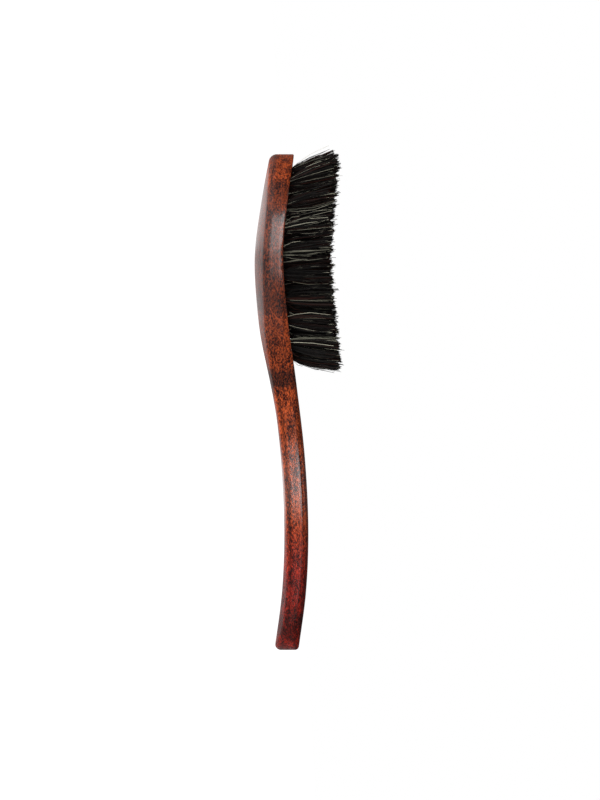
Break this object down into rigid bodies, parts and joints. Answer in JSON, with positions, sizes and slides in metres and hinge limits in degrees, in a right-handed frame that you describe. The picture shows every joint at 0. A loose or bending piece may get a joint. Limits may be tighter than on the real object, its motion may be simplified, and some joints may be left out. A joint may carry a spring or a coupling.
{
  "type": "beard brush",
  "caption": "Long-handled beard brush: one bowed hardwood board with a hollow-faced oval head, set with fanned tufts of dark natural bristle.",
  "frame": {"origin": "centre of the bounding box at its base: the level the brush lies on when it rests on its back", "axes": "+X along the brush towards the tip of the head, +Y across the board, +Z the way the bristles point"},
  "size_m": [0.2162, 0.0466, 0.0387],
  "materials": {
    "wood": "burnt and red-stained hardwood under a semi-gloss lacquer",
    "staple": "plain drawn steel",
    "bristle": "natural boar bristle, nearly black with brown and blond hairs, cut ends"
  },
  "bodies": {
    "root": {"wood_body": "wood", "tuft_row01_1": "bristle", "tuft_row01_2": "bristle", "tuft_row01_3": "bristle", "tuft_row02_1": "bristle", "tuft_row02_2": "bristle", "tuft_row02_3": "bristle", "tuft_row02_4": "bristle", "tuft_row03_1": "bristle", "tuft_row03_2": "bristle", "tuft_row03_3": "bristle", "tuft_row04_1": "bristle", "tuft_row04_2": "bristle", "tuft_row04_3": "bristle", "tuft_row04_4": "bristle", "tuft_row05_1": "bristle", "tuft_row05_2": "bristle", "tuft_row05_3": "bristle", "tuft_row06_1": "bristle", "tuft_row06_2": "bristle", "tuft_row06_3": "bristle", "tuft_row06_4": "bristle", "tuft_row07_1": "bristle", "tuft_row07_2": "bristle", "tuft_row07_3": "bristle", "tuft_row08_1": "bristle", "tuft_row08_2": "bristle", "tuft_row08_3": "bristle", "tuft_row08_4": "bristle", "tuft_row09_1": "bristle", "tuft_row09_2": "bristle", "tuft_row09_3": "bristle", "tuft_row10_1": "bristle", "tuft_row10_2": "bristle", "tuft_row10_3": "bristle", "tuft_row10_4": "bristle", "tuft_row11_1": "bristle", "tuft_row11_2": "bristle", "tuft_row11_3": "bristle", "tuft_row12_1": "bristle", "tuft_row12_2": "bristle", "tuft_row12_3": "bristle", "tuft_row12_4": "bristle", "tuft_row13_1": "bristle", "tuft_row13_2": "bristle", "tuft_row13_3": "bristle", "tuft_row14_1": "bristle", "tuft_row14_2": "bristle", "tuft_row14_3": "bristle", "tuft_row14_4": "bristle", "tuft_row15_1": "bristle", "tuft_row15_2": "bristle", "tuft_row15_3": "bristle", "tuft_row16_1": "bristle", "tuft_row16_2": "bristle", "tuft_row16_3": "bristle", "tuft_row16_4": "bristle", "tuft_row17_1": "bristle", "tuft_row17_2": "bristle", "tuft_row17_3": "bristle"}
  },
  "joints": []
}
